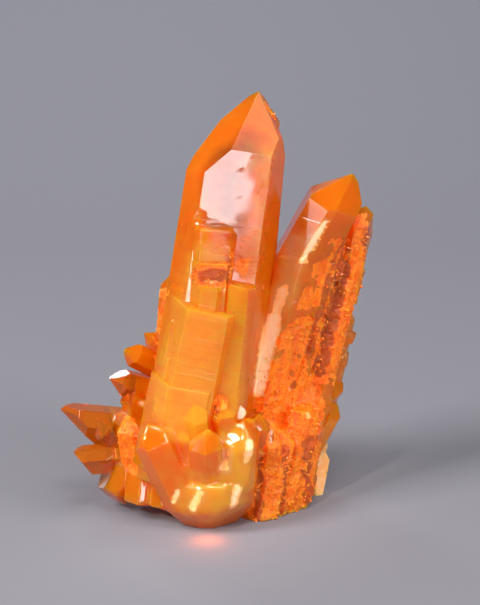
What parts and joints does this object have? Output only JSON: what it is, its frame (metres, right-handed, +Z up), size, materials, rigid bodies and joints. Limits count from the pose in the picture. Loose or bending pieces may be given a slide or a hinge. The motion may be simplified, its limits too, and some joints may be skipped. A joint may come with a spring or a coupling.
{
  "type": "tangerine lemurian quartz cluster",
  "caption": "Cluster of intergrown orange quartz points, tall and short, on a broken, iron-stained root that is cut flat underneath so that it stands.",
  "frame": {"origin": "middle of the bounding box in plan, on the flat cut underneath", "axes": "+Z up, the way the points grew; +X to the right seen from the front; +Y to the back"},
  "size_m": [0.0902, 0.0624, 0.1194],
  "materials": {
    "orange_quartz": "clear to milky orange quartz, glassy, with iron-stained growth lines",
    "iron_crust": "rough red-orange iron-oxide crust with small sparkling faces"
  },
  "bodies": {
    "root": {"quartz_cluster": "orange_quartz"}
  },
  "joints": []
}
